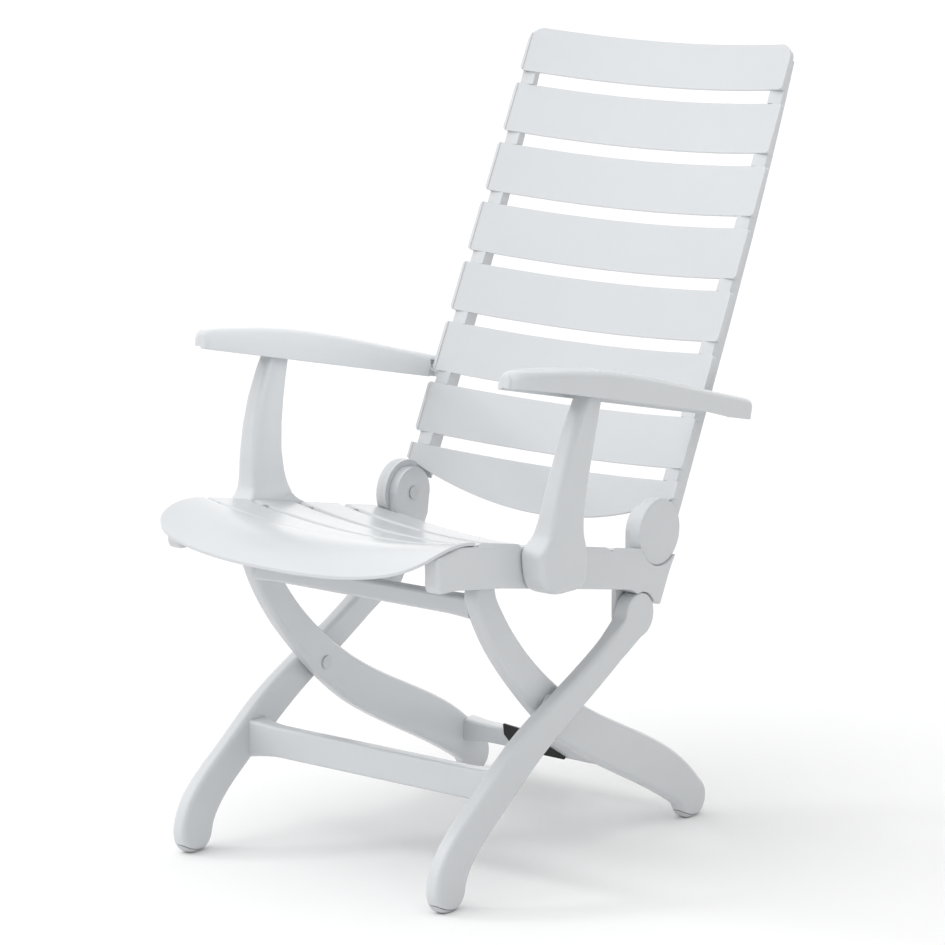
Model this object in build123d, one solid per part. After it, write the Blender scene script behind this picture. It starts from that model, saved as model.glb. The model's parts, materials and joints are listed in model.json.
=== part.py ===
from build123d import *
import math
import os

# Folding multi-position armchair in moulded resin, in millimetres.
# +Z is up, the sitter faces -Y, and the origin is on the floor under the middle of the chair.
# Side pieces are drawn for the +X side in (Y, Z) and mirrored for the other side.

# ---- layers across the chair, from the middle outwards (X) ----
slat_half = 240.0          # half length of every slat, which sets the other places across the chair
rear_leg_in = slat_half - 54.0
leg_thick = 23.4
leg_gap = 4.8              # between crossed legs, filled by a washer
front_leg_in = rear_leg_in + leg_thick + leg_gap
side_out = slat_half - 7.4  # outer face of the side rails
seat_rail_thick = 19.6
back_rail_thick = 23.1
ear_thick = 13.7           # half-lap hinge: ear on the seat, disc on the back rail
run_gap = 0.3              # side clearance between pieces that turn
pin_gap = 0.05             # radial running clearance round a pin
lug_thick = 6.9            # lug on the seat that carries the front-foot leg
seat_rail_in = side_out - seat_rail_thick
back_rail_in = side_out - back_rail_thick
disc_in = side_out - 13.6
ear_in = disc_in - run_gap - ear_thick
lug_out = front_leg_in - run_gap
lug_in = lug_out - lug_thick

# ---- pivots in side view (Y, Z) ----
seat_pivot = (48.0, 328.0)     # front-foot leg on the seat's lug
cross_pivot = (-122.0, 229.0)  # where the two leg frames cross
back_pivot = (92.0, 437.0)     # backrest on the seat's ear
post_pivot = (-204.0, 452.0)   # arm post on the seat rail
arm_pivot = (-121.0, 660.0)    # armrest on the arm post
stud = (192.0, 603.0)          # stud on the back rail that the armrest rests on

# ---- pins ----
pin_r = 6.0
pin_head_r = 9.5
pin_head_t = 2.5
arm_pin_r = 6.0
bush_r = 9.5
stud_r = 6.0
stud_end = slat_half + 19.0

# ---- seat ----
seat_slope = 10.6              # degrees, falling to the rear
seat_front = (-308.0, 488.0)   # top surface of the slat ends, at the front of the second slat
seat_dish = 23.0
slat_thick = 4.6
seat_slat_len = 89.4
seat_slat_pitch = 96.2
seat_slat_count = 4            # behind the front slat
skirt_depth = 25.0
front_slat_gap = 5.5
front_slat_len = 122.5
front_slat_fall = 0.00309      # extra fall per mm squared towards the front
rail_nose = -389.0

# ---- back ----
back_lean = 25.66              # degrees from upright
back_long = 696.28             # along the rail, from its top to beside the pivot
back_face = 10.64              # from the pivot to the front plane of the back rails
back_rail_depth = 25.6
back_rail_tip = 9.0            # depth of the rail at its top
back_slat_h = 74.3
back_low = 5.0                 # the last slat stops this far above the pivot
back_slat_count = 8
top_slat_start = -21.7
top_slat_h = 68.4
top_lead = 9.0                 # the top of the back curves forward by this much
lead_from = 170.0              # and starts to at this distance down the rail
top_narrow = (6.0, 2.5)        # the top slats are this much shorter at each end
back_dish = 30.0
back_proud = 6.0               # slat ends stand this far in front of the rails
last_slat_end_h = 24.0
last_slat_mid_h = 70.0
back_lip = 9.0
slat_corner_r = 6.0
top_corner_r = 24.0
disc_r = 46.0
ear_r = 37.0
recess_gap = 0.5
ear_clear = 2.5                # the rail's inner half is cut back this far round the disc

# ---- legs ----
leg_head_r = 27.0
hood_gap = 2.2
front_foot = (-358.0, 29.0)
front_foot_r = 31.5
rear_foot = (217.0, 28.0)
rear_foot_r = 30.5
rest_at = (-253.0, 402.0)      # round top of the rear leg, under the seat
rest_r = 23.5
glide_h = 8.0

# ---- crossbars (centre, height, depth) ----
front_bar = (-236.0, 140.0, 43.0, 22.0)
low_bar = (198.0, 70.0, 27.0, 25.0)
rest_bar = (-253.0, 386.0, 26.0, 24.0)
rest_gap = 0.2
rest_lug = (-270.0, -236.0)    # block on the seat rail that rests on the rear leg
bar_edge_r = 4.0
clip_thick = 5.0

# ---- arms ----
arm_mid_x = slat_half + 36.0
arm_half = 28.5
arm_in_rear = slat_half + 3.4
arm_out_rear = slat_half + 42.0
arm_tip = -285.0
arm_roll = 5.5                 # the lower edge rises this much towards the outside
arm_end = 239.0
arm_drop = 11.9                # degrees, falling to the rear
arm_under = (-122.0, 653.5)    # on the armrest's lower edge line
arm_wall = 3.6
arm_edge_r = 8.0
rack_gap = 0.8
recline = 12.0                 # travel of the back, degrees
arm_follow = 0.23              # share of it that the armrest turns
post_thick = 24.0
post_mid_x = slat_half + 27.0
post_splay = 3.1
post_foot_in = slat_half + 0.5
post_foot_out = slat_half + 39.5
boss_r = 15.0
notch_depth = 19.0
notch_half = 20.0
head_half = 12.5
rib_half = 4.7


def side(face, x0, x1):
    """Solid between two X planes from a (Y, Z) face."""
    return extrude(Plane.YZ.offset(x0) * face, amount=x1 - x0)


def poly(*points):
    return make_face(Polyline(*points, close=True))


def disc(at, r):
    return Pos(at[0], at[1]) * Circle(r)


def rod(at, r, x0, x1):
    return side(disc(at, r), x0, x1)


def block(x0, x1, y0, y1, z0, z1):
    centre = Pos((x0 + x1) / 2, (y0 + y1) / 2, (z0 + z1) / 2)
    return centre * Box(x1 - x0, y1 - y0, z1 - z0)


def other_side(shape):
    return mirror(shape, about=Plane.YZ)


def pinned(at, x0, x1, head_low, head_high, r=pin_r):
    """Pin along X with a flat head at either or both ends."""
    body = rod(at, r, x0, x1)
    if head_low:
        body += rod(at, pin_head_r, x0 - pin_head_t, x0)
    if head_high:
        body += rod(at, pin_head_r, x1, x1 + pin_head_t)
    return body


def seat_z(y):
    return seat_front[1] - math.tan(math.radians(seat_slope)) * (y - seat_front[0])


def dish_band(plane, depth, rise, wall, ends_out=slat_half):
    """Thin arched section across the chair; its ends reach the plane's height `rise`."""
    top = [(-ends_out, rise), (0, rise - depth), (ends_out, rise)]
    low = [(-ends_out, rise - wall), (0, rise - depth - wall), (ends_out, rise - wall)]
    edges = [
        ThreePointArc(*top),
        Line(top[2], low[2]),
        ThreePointArc(*low),
        Line(low[0], top[0]),
    ]
    return plane * make_face(edges)


# ---- backrest ----
lean = math.radians(back_lean)
down = (0, -math.sin(lean), -math.cos(lean))
front_normal = (0, -math.cos(lean), math.sin(lean))


def on_back(s, w=0.0):
    """(Y, Z) at distance s down the rail and w in front of its front face."""
    along = s - back_long
    out = w - back_face
    y = back_pivot[0] + down[1] * along + front_normal[1] * out
    z = back_pivot[1] + down[2] * along + front_normal[2] * out
    return (y, z)


def back_plane(s):
    y, z = on_back(s)
    return Plane(origin=(0, y, z), x_dir=(1, 0, 0), z_dir=down)


def face_plane(s):
    """Plane lying in the front face of the back, with its Y axis running up the rail."""
    y, z = on_back(s)
    return Plane(origin=(0, y, z), x_dir=(1, 0, 0), z_dir=front_normal)


def back_slat_starts():
    """Distance down the rail to the top of each slat, with even gaps between them."""
    between = back_slat_count - 2
    slats = top_slat_h + between * back_slat_h + last_slat_mid_h
    gap = (back_long - back_low - top_slat_start - slats) / (back_slat_count - 1)
    starts = [top_slat_start]
    for i in range(1, back_slat_count):
        starts.append(top_slat_start + top_slat_h + gap + (i - 1) * (back_slat_h + gap))
    return starts


def lead(s):
    """How far the top of the back curves forward of the straight rail line."""
    share = max(0.0, (lead_from - s) / (lead_from - top_slat_start))
    return top_lead * share ** 1.5


def back_slat(i):
    start = back_slat_starts()[i]
    last = i == back_slat_count - 1
    height = top_slat_h if i == 0 else last_slat_mid_h if last else back_slat_h
    half = slat_half - (top_narrow[i] if i < len(top_narrow) else 0)
    proud = back_proud + lead(start + height / 2)
    band = dish_band(back_plane(start), back_dish, proud, slat_thick, half)
    slat = extrude(band, amount=height)
    for sign in (-1, 1):
        lip = Pos(sign * (half - slat_thick / 2), proud - back_lip / 2)
        slat += extrude(back_plane(start) * lip * Rectangle(slat_thick, back_lip), amount=height)
    if last:
        edges = [
            Line((-half, 0), (half, 0)),
            Line((half, 0), (half, -last_slat_end_h)),
            ThreePointArc((half, -last_slat_end_h), (0, -last_slat_mid_h), (-half, -last_slat_end_h)),
            Line((-half, -last_slat_end_h), (-half, 0)),
        ]
        face = make_face(edges)
    else:
        face = Pos(0, -height / 2) * Rectangle(2 * half, height)
        high = face.vertices().sort_by(Axis.Y)[2:]
        face = fillet(high, top_corner_r if i == 0 else slat_corner_r)
        face = fillet(face.vertices().sort_by(Axis.Y)[:2], slat_corner_r)
    return slat & extrude(face_plane(start) * face, amount=3 * back_dish, both=True)


def back_rail():
    """Side rail, slimmer towards its top, with the hinge's disc at its foot."""
    end = back_long
    front = [on_back(0, lead(0)), on_back(80, lead(80)), on_back(lead_from), on_back(end / 2)]
    depths = [(0, back_rail_tip - lead(0)), (150, 13.0), (345, 21.0), (end - 60, back_rail_depth)]
    rear = [on_back(s, -depth) for s, depth in depths]
    foot = [on_back(end), on_back(end, -back_rail_depth)]
    edges = [
        Spline(*front),
        Polyline(front[-1], *foot, rear[-1]),
        Spline(*reversed(rear)),
        Line(rear[0], front[0]),
    ]
    rail = side(make_face(edges), back_rail_in, side_out)
    knuckle = disc(back_pivot, disc_r)
    span = 4 * disc_r
    behind = [on_back(end - span, -back_rail_depth), on_back(end + span, -back_rail_depth)]
    behind += [on_back(end + span, -3 * disc_r), on_back(end - span, -3 * disc_r)]
    knuckle -= poly(*behind)
    rail += side(knuckle, back_rail_in, side_out)
    rail -= rod(back_pivot, disc_r + ear_clear, back_rail_in - 1, disc_in)
    rail -= rod(back_pivot, pin_r + pin_gap, back_rail_in, side_out + 1)
    rail -= rod(stud, stud_r, side_out - 12, side_out + 1)
    return rail


# ---- seat ----
slope = math.radians(seat_slope)
forward = (0, -math.cos(slope), math.sin(slope))


def seat_plane(y):
    return Plane(origin=(0, y, seat_z(y)), x_dir=(1, 0, 0), z_dir=forward)


def ear_recess(x0, x1):
    return rod(back_pivot, disc_r + recess_gap, x0, x1)


def post_notches():
    """Room in the slats' ends for the bosses of the arm posts."""
    y, z = post_pivot
    cut = block(slat_half - notch_depth, slat_half + 1, y - notch_half, y + notch_half, z - 60, z + 60)
    return cut + other_side(cut)


def seat_slat(i):
    front = seat_front[0] + (i - 1) * seat_slat_pitch
    rear = front + seat_slat_len
    length = seat_slat_len / math.cos(slope)
    slat = extrude(dish_band(seat_plane(rear), seat_dish, 0, slat_thick), amount=length)
    skirt_in = side_out + run_gap
    for sign in (-1, 1):
        spot = Pos(sign * (slat_half + skirt_in) / 2, -skirt_depth / 2)
        slat += extrude(seat_plane(rear) * spot * Rectangle(slat_half - skirt_in, skirt_depth), amount=length)
    slat -= post_notches()
    if i == seat_slat_count:
        for sign in (-1, 1):
            cut = rod(back_pivot, disc_r + recess_gap, ear_in - run_gap, slat_half + 1)
            slat -= cut if sign > 0 else other_side(cut)
    return slat


def front_section(y):
    fall = front_slat_fall * (seat_front[0] - front_slat_gap - y) ** 2
    plane = Plane(origin=(0, y, seat_z(y) - fall), x_dir=(1, 0, 0), z_dir=(0, -1, 0))
    return dish_band(plane, seat_dish, 0, slat_thick)


def front_slat():
    rear = seat_front[0] - front_slat_gap
    steps = [0, 0.35, 0.7, 1.0]
    sheet = loft([front_section(rear - k * (front_slat_len + 2)) for k in steps])
    plan = []
    for k in range(0, 13):
        t = math.pi * k / 12
        x = math.copysign(abs(math.cos(t)) ** (1 / 3), math.cos(t)) * slat_half
        plan.append((x, rear - front_slat_len * math.sin(t) ** (1 / 3)))
    edge = make_face([Spline(*plan), Line(plan[-1], plan[0])])
    return sheet & extrude(Plane.XY.offset(rail_floor()) * edge, amount=200)


def rail_floor():
    return seat_pivot[1] + 20


def under_slats(y):
    """Height of the seat rail's top edge, just inside the slats' thickness."""
    fall = front_slat_fall * max(0.0, seat_front[0] - front_slat_gap - y) ** 2
    return seat_z(y) - fall - slat_thick


def seat_rail():
    """Side rail of the seat, with its ear for the back and its lug for the front-foot leg."""
    under = [(rail_nose, 440), (-384, 431), (-372, 430), (-344.5, 430), (-257.7, 418.1), (-4, 372.9), (22, 368)]
    heel = [(89.7, 335.5), (109.9, 377.2), (124, 402)]
    crown = [(y, under_slats(y)) for y in (110, -318, -340, -365, rail_nose)]
    rail = side(poly(*under, *heel, *crown), seat_rail_in, side_out)
    rail -= ear_recess(disc_in - run_gap, side_out + 1)
    root = [(12, 424), (12, 371), *heel, (back_pivot[0] + ear_r, back_pivot[1])]
    ear = disc(back_pivot, ear_r) + poly((back_pivot[0] - ear_r, back_pivot[1]), *root)
    rail += side(ear, ear_in, disc_in - run_gap)
    lug_end = [(22, 328), (22, 372), (109.9, 377.2), (89.7, 335.5), (70, 316)]
    rail += side(disc(seat_pivot, 26) + poly(*lug_end), lug_in, lug_out)
    rail -= rod(seat_pivot, leg_head_r + hood_gap, lug_out, side_out + 1)
    y0, y1 = rest_lug
    low = rest_at[1] + rest_r + rest_gap
    rail += block(rear_leg_in, seat_rail_in + 1, y0, y1, low, under_slats(y1) - 8)
    rail -= rod(seat_pivot, pin_r + pin_gap, lug_in - 1, side_out + 1)
    rail -= rod(back_pivot, pin_r + pin_gap, ear_in - 1, side_out + 1)
    rail -= rod(post_pivot, pin_r + pin_gap, seat_rail_in - 1, side_out + 1)
    return rail


# ---- legs ----
def leg_solid(face, x0):
    solid = side(face, x0, x0 + leg_thick)
    floor = block(x0 - 1, x0 + leg_thick + 1, -600, 600, -60, 0)
    return solid - floor


def front_leg():
    upper = [(30, 338), (-105, 258), (-231, 191), (-302, 137), (-377, 69), (-389.3, 36)]
    lower = [(-326.7, 32), (-308, 60), (-259, 102), (-157, 175), (-43, 240), (64, 306)]
    edges = [Spline(*upper), Line(upper[-1], lower[0]), Spline(*lower), Line(lower[-1], upper[0])]
    face = make_face(edges) + disc(seat_pivot, leg_head_r) + disc(front_foot, front_foot_r)
    leg = leg_solid(face, front_leg_in)
    leg -= rod(seat_pivot, pin_r, front_leg_in - 1, front_leg_in + leg_thick + 1)
    leg -= rod(cross_pivot, pin_r, front_leg_in - 1, front_leg_in + leg_thick + 1)
    return leg


def rear_leg():
    upper = [(-229.8, 400), (-182, 331), (-100, 255), (-33, 211), (74, 158.5), (193, 91), (246, 38)]
    lower = [(187.5, 22), (118, 62), (3, 120), (-80, 169), (-174, 252), (-250.5, 346), (-276.2, 398)]
    edges = [Spline(*upper), Line(upper[-1], lower[0]), Spline(*lower), Line(lower[-1], upper[0])]
    face = make_face(edges) + disc(rest_at, rest_r) + disc(rear_foot, rear_foot_r)
    leg = leg_solid(face, rear_leg_in)
    leg -= rod(cross_pivot, pin_r + pin_gap, rear_leg_in - 1, rear_leg_in + leg_thick + 1)
    return leg


def foot_and_leg(leg):
    zone = block(0, 2 * slat_half, -600, 600, 0, glide_h)
    return leg & zone, leg - zone


def crossbar(at, half_length):
    y, z, height, depth = at
    bar = Pos(0, y, z) * Box(2 * half_length, depth, height)
    return fillet(bar.edges().filter_by(Axis.X), bar_edge_r)


def front_crossbar():
    y, z, height, depth = front_bar
    bar = crossbar(front_bar, front_leg_in)
    for sign in (-1, 1):
        pad = Pos(sign * (front_leg_in - 1.5), y, z) * Box(3, depth + 10, height + 8)
        bar += fillet(pad.edges().filter_by(Axis.X), bar_edge_r)
    return bar


def transport_clip():
    """Strap on the front of the lower crossbar, with a thick head and a thin tail."""
    y, z, height, depth = low_bar
    front = y - depth / 2
    outline = [(-111, 92), (-80, 89), (-8, 64), (-8, 56.6), (-60, 57), (-98, 66), (-109, 76)]
    strap = extrude(Plane.XZ.offset(-front) * poly(*outline), amount=clip_thick)
    return strap


# ---- arms ----
def on_arm(u, v):
    """(Y, Z) at u along the armrest's lower edge and v above it."""
    a = math.radians(arm_drop)
    y = arm_under[0] + u * math.cos(a) + v * math.sin(a)
    z = arm_under[1] - u * math.sin(a) + v * math.cos(a)
    return (y, z)


def turned(point, about, degrees):
    """Point turned clockwise, seen from +X."""
    a = -math.radians(degrees)
    dy, dz = point[0] - about[0], point[1] - about[1]
    return (about[0] + dy * math.cos(a) - dz * math.sin(a), about[1] + dy * math.sin(a) + dz * math.cos(a))


def arm_side(inset):
    """Side view of the armrest, its top and ends drawn in by `inset`."""
    first = -170 + inset
    last = 369 - inset
    crown = [(first, 9), (-148, 20.5), (-70, 33), (30, 38.5), (200, 33), (last, 24)]
    top = [on_arm(u, v - inset) for u, v in crown]
    low = -20 if inset else 0
    start = on_arm(first, low)
    end = on_arm(last, low)
    return make_face([Spline(*top), Line(top[-1], end), Line(end, start), Line(start, top[0])])


def arm_plan(inset):
    x0 = arm_mid_x - arm_half + inset
    x1 = arm_mid_x + arm_half - inset
    tip = arm_tip + inset
    nose = [(x0, -235), (x0 + 1.5, -270), (x0 + 9, tip), (x1 - 22, tip), (x1 - 6, -264), (x1, -225)]
    rear_in = (arm_in_rear + inset, arm_end + 30)
    rear_out = (arm_out_rear - inset, arm_end + 30)
    outer = Spline(nose[-1], (x1, -80), (x1 - 8, 90), rear_out)
    return make_face([Spline(*nose), outer, Line(rear_out, rear_in), Line(rear_in, nose[0])])


def arm_blank(inset):
    body = side(arm_side(inset), arm_mid_x - 50, arm_mid_x + 50)
    return body & extrude(Plane.XY.offset(500) * arm_plan(inset), amount=300)


def rack_points():
    """Underside of the rack: the stud's path in the armrest, moved up by the clearance."""
    points = []
    for share in (-0.25, 0, 0.5, 1.0, 1.3):
        at = turned(stud, back_pivot, share * recline)
        at = turned(at, arm_pivot, -arm_follow * share * recline)
        lift = stud_r + rack_gap
        points.append((at[0] + lift * math.sin(math.radians(arm_drop)), at[1] + lift * math.cos(math.radians(arm_drop))))
    return points


def tilt():
    """Normal of the armrest's lower face."""
    a = math.radians(arm_drop)
    roll = math.atan2(arm_roll, 2 * arm_half)
    return (-math.sin(roll), math.sin(a) * math.cos(roll), math.cos(a) * math.cos(roll))


def armrest():
    outer = arm_blank(0)
    cavity = arm_blank(arm_wall)
    rib_x = (arm_mid_x - rib_half, arm_mid_x + rib_half)
    rib = side(disc(arm_pivot, bush_r + 4) + poly(on_arm(-12, 5), on_arm(14, 5), on_arm(14, 36.5), on_arm(-12, 36.5)), *rib_x)
    path = rack_points()
    curve = Spline(*path)
    above = [path[-1], on_arm(368, 32), on_arm(306, 32), path[0]]
    below = [path[-1], on_arm(368, -6), on_arm(306, -6), path[0]]
    rack = side(make_face([curve, Polyline(*above)]), arm_mid_x - 50, stud_end + 3)
    slot = side(make_face([curve, Polyline(*below)]), arm_mid_x - 50, stud_end + 3.5)
    arm = outer - cavity
    # the outer wall is shallower than the inner one
    low = Plane(origin=(arm_mid_x - arm_half, *on_arm(0, 0)), x_dir=(arm_half * 2, 0, arm_roll), z_dir=tilt())
    arm -= low * Pos(0, 0, -50) * Box(400, 1200, 100)
    arm += (rack & outer) + (rib & outer)
    arm -= slot & side(poly(on_arm(306, -10), on_arm(364.5, -10), on_arm(364.5, 40), on_arm(306, 40)), slat_half - 40, slat_half + 60)
    arm -= rod(arm_pivot, bush_r + pin_gap, arm_mid_x - 20, arm_mid_x + 20)
    return arm


def arm_post():
    front = [(-206, 466), (-187, 527), (-160, 603), (-133.3, 660)]
    rear = [(-108.6, 660), (-116, 618.5), (-132, 534), (-138, 470)]
    edges = [Spline(*front), Line(front[-1], rear[0]), Spline(*rear), Line(rear[-1], front[0])]
    shaft = side(make_face(edges), post_mid_x - post_thick / 2, post_mid_x + post_thick / 2)
    shaft = shaft.rotate(Axis((post_mid_x, 0, 486), (0, 1, 0)), post_splay)
    collar = [(-199, 492), (-212, 476), (-237, 464), (-234, 451), (-222, 440), (-219, 425), (-207, 407), (-196, 401)]
    heel = [(-137, 401), (-126, 412), (-127, 466), (-138, 492)]
    stop = [(-139, 492), (-134, 474), (-127, 463), (-114, 453), (-97, 446), (-139, 446)]
    foot = side(poly(*collar, *heel), post_foot_in, post_foot_out)
    foot += side(poly(*stop), post_foot_in, post_foot_in + 12)
    head = rod(arm_pivot, head_half, arm_mid_x - head_half, arm_mid_x + head_half)
    post = shaft + foot + head + rod(post_pivot, boss_r, side_out + run_gap, post_foot_in)
    post -= rod(arm_pivot, 19, arm_mid_x - rib_half - 0.6, arm_mid_x + rib_half + 0.6)
    post -= rod(arm_pivot, arm_pin_r + pin_gap, arm_mid_x - 30, arm_mid_x + 30)
    post -= rod(post_pivot, pin_r, side_out, post_mid_x)
    return post


# ---- assembly ----
nodes = {}


def both(name, shape):
    nodes[name + "_left"] = shape
    nodes[name + "_right"] = other_side(shape)


back_slats = [back_slat(i) for i in range(back_slat_count)]
seat_slats = [front_slat()] + [seat_slat(i) for i in range(1, seat_slat_count + 1)]
back_side = back_rail()
seat_side = seat_rail()
stud_rod = rod(stud, stud_r, side_out - 12, stud_end)
over = slat_thick - 0.5
for i, slat in enumerate(back_slats):
    back_side -= Pos(0, front_normal[1] * over, front_normal[2] * over) * slat
    back_side -= slat
    nodes["back_slat_" + str(i + 1)] = slat - stud_rod - other_side(stud_rod)
for i, slat in enumerate(seat_slats):
    seat_side -= Pos(0, 0, over) * slat
    seat_side -= slat
    nodes["seat_slat_" + str(i + 1)] = slat
both("back_rail", back_side)
both("seat_rail", seat_side)
both("arm_stud", stud_rod)
for name, leg in (("front", front_leg()), ("rear", rear_leg())):
    glide, rest = foot_and_leg(leg)
    both(name + "_leg", rest)
    both(name + "_foot_glide", glide)
nodes["front_leg_crossbar"] = front_crossbar()
nodes["rear_leg_upper_crossbar"] = crossbar(rest_bar, rear_leg_in)
nodes["rear_leg_lower_crossbar"] = crossbar(low_bar, rear_leg_in)
nodes["transport_clip"] = transport_clip()
both("armrest", armrest())
both("arm_post", arm_post())
leg_out = front_leg_in + leg_thick
both("seat_pivot_pin", pinned(seat_pivot, lug_in - run_gap, leg_out, True, True))
both("leg_pivot_pin", pinned(cross_pivot, rear_leg_in - run_gap, leg_out, True, True))
washer = rod(cross_pivot, 16, front_leg_in - leg_gap + run_gap, front_leg_in) - rod(cross_pivot, pin_r, front_leg_in - 10, front_leg_in + 10)
both("leg_washer", washer)
both("back_hinge_pin", pinned(back_pivot, ear_in - run_gap, side_out, True, False))
both("post_pivot_pin", rod(post_pivot, pin_r, seat_rail_in - run_gap, post_mid_x))
both("arm_pivot_pin", rod(arm_pivot, arm_pin_r, arm_mid_x - head_half, arm_mid_x + head_half))
bush = rod(arm_pivot, bush_r, arm_mid_x - rib_half, arm_mid_x + rib_half)
both("arm_bush", bush - rod(arm_pivot, arm_pin_r + pin_gap, arm_mid_x - 20, arm_mid_x + 20))

# the finished chair is centred front to back over its own length
boxes = [shape.bounding_box() for shape in nodes.values()]
middle_y = (min(b.min.Y for b in boxes) + max(b.max.Y for b in boxes)) / 2
print("moved forward by", round(middle_y, 3))

os.makedirs("parts", exist_ok=True)
for name, shape in nodes.items():
    export_step(Pos(0, -middle_y, 0) * shape, "parts/" + name + ".step")
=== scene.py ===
import bpy
import bmesh
import json
import math
import numpy as np
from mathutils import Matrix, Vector
from mathutils.bvhtree import BVHTree
from mathutils.geometry import tessellate_polygon

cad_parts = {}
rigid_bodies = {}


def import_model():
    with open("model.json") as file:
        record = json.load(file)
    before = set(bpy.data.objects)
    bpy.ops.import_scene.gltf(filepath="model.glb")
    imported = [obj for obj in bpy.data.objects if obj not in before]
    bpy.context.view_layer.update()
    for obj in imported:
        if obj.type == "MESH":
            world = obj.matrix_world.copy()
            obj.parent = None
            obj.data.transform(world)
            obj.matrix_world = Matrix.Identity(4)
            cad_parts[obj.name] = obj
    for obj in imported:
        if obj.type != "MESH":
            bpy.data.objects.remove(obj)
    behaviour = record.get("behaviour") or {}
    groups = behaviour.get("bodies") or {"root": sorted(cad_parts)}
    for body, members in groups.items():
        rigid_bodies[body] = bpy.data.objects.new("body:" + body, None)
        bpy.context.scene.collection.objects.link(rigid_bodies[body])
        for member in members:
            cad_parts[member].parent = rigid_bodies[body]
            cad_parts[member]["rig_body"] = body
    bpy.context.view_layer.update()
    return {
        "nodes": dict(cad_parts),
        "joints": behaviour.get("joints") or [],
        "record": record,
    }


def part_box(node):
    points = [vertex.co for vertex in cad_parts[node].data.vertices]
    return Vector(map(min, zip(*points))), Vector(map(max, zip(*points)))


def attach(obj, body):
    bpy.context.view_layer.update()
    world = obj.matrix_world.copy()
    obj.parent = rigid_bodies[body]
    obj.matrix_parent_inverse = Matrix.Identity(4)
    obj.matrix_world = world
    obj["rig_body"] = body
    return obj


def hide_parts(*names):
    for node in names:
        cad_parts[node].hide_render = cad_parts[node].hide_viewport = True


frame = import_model()
nodes = frame["nodes"]
mm = 0.001
print("stage 1: the frame is in,", len(nodes), "nodes")


# shader helpers
def addNode(tree, kind, x, y, **values):
    node = tree.nodes.new(kind)
    node.location = (x, y)
    for key, value in values.items():
        setattr(node, key, value)
    return node


# sets a socket to a plain value, or links another socket to it
def feed(tree, value, socket):
    if isinstance(value, (int, float)):
        socket.default_value = value
    else:
        tree.links.new(value, socket)


def newGroup(name, inputs, outputs):
    group = bpy.data.node_groups.new(name, "ShaderNodeTree")
    for label, kind, value in inputs:
        socket = group.interface.new_socket(label, in_out="INPUT", socket_type=kind)
        socket.default_value = value
    for label, kind in outputs:
        group.interface.new_socket(label, in_out="OUTPUT", socket_type=kind)
    return group, addNode(group, "NodeGroupInput", -900, 0), addNode(group, "NodeGroupOutput", 500, 0)


def noise(tree, place, scale, detail, x, y):
    node = addNode(tree, "ShaderNodeTexNoise", x, y)
    feed(tree, scale, node.inputs["Scale"])
    node.inputs["Detail"].default_value = detail
    tree.links.new(place, node.inputs["Vector"])
    return node.outputs["Fac"]


def maths(tree, operation, values, x, y):
    node = addNode(tree, "ShaderNodeMath", x, y, operation=operation)
    for slot, value in enumerate(values):
        feed(tree, value, node.inputs[slot])
    return node.outputs["Value"]


# moulded resin: slow cloudy colour drift, flow of the melt, fine skin grain and a little dust
# noise as scale and detail; cloud and scuff move the colour, sink and grain the height
skinPattern = {"cloud": (6.0, 3.0), "scuff": (42.0, 5.0), "sink": (11.0, 0.0), "grainDetail": 2.0,
               "cloudInColor": 1.2, "colorShift": -0.3, "scuffInColor": 0.35, "sinkInHeight": 0.5}


def makeResinGroup():
    group, start, end = newGroup(
        "mouldedSkin",
        [("Base", "NodeSocketColor", (0.6, 0.6, 0.6, 1)), ("Drift", "NodeSocketColor", (0.5, 0.5, 0.5, 1)),
         ("Gloss", "NodeSocketFloat", 0.3), ("Gloss Spread", "NodeSocketFloat", 0.1),
         ("Grain Scale", "NodeSocketFloat", 900.0), ("Grain Depth", "NodeSocketFloat", 0.3)],
        [("Color", "NodeSocketColor"), ("Roughness", "NodeSocketFloat"), ("Height", "NodeSocketFloat")])
    place = addNode(group, "ShaderNodeTexCoord", -1300, -300).outputs["Object"]
    cloud = noise(group, place, *skinPattern["cloud"], -1000, 300)
    scuff = noise(group, place, *skinPattern["scuff"], -1000, -100)
    sink = noise(group, place, *skinPattern["sink"], -1000, -350)
    grain = noise(group, place, start.outputs["Grain Scale"], skinPattern["grainDetail"], -600, -500)
    drift = maths(group, "MULTIPLY_ADD", (cloud, skinPattern["cloudInColor"], skinPattern["colorShift"]), -600, 300)
    drift = maths(group, "MULTIPLY_ADD", (scuff, skinPattern["scuffInColor"], drift), -400, 200)
    mixer = addNode(group, "ShaderNodeMix", -200, 300, data_type="RGBA")
    group.links.new(drift, mixer.inputs[0])
    group.links.new(start.outputs["Base"], mixer.inputs[6])
    group.links.new(start.outputs["Drift"], mixer.inputs[7])
    group.links.new(mixer.outputs[2], end.inputs["Color"])
    rough = maths(group, "MULTIPLY_ADD", (scuff, start.outputs["Gloss Spread"], start.outputs["Gloss"]), -200, 0)
    group.links.new(rough, end.inputs["Roughness"])
    fine = maths(group, "MULTIPLY", (grain, start.outputs["Grain Depth"]), -200, -400)
    height = maths(group, "MULTIPLY_ADD", (sink, skinPattern["sinkInHeight"], fine), 0, -300)
    group.links.new(height, end.inputs["Height"])
    return group


resinGroup = makeResinGroup()


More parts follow.
